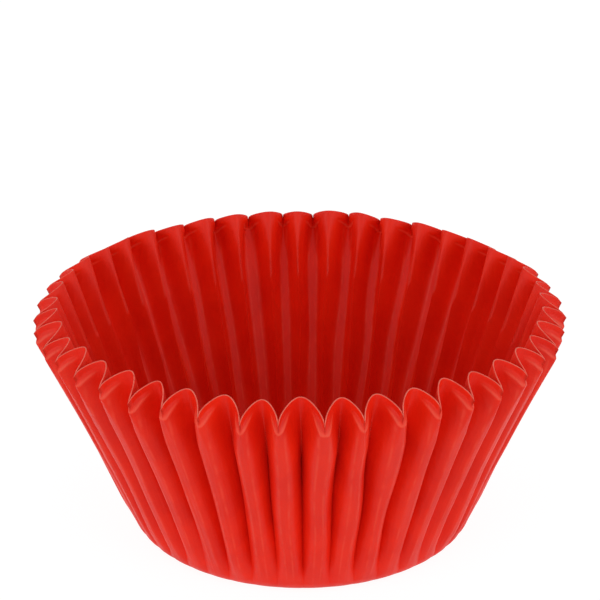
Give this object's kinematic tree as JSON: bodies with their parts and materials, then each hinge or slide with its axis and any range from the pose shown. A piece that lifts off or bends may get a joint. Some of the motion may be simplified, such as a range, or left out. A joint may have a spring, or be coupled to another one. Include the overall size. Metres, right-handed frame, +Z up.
{
  "type": "paper baking cup",
  "caption": "Round paper baking cup with a flat base and a flared wall pressed into narrow radial pleats, open at the top.",
  "frame": {"origin": "centre of the flat base's underside, on the surface the cup stands on", "axes": "+Z up through the open mouth; an inner fold lies over -Y, and the cup looks the same from every side"},
  "size_m": [0.077, 0.077, 0.0352],
  "materials": {
    "red_paper": "matte greaseproof paper, red on both sides"
  },
  "bodies": {
    "root": {"baking_cup": "red_paper"}
  },
  "joints": []
}
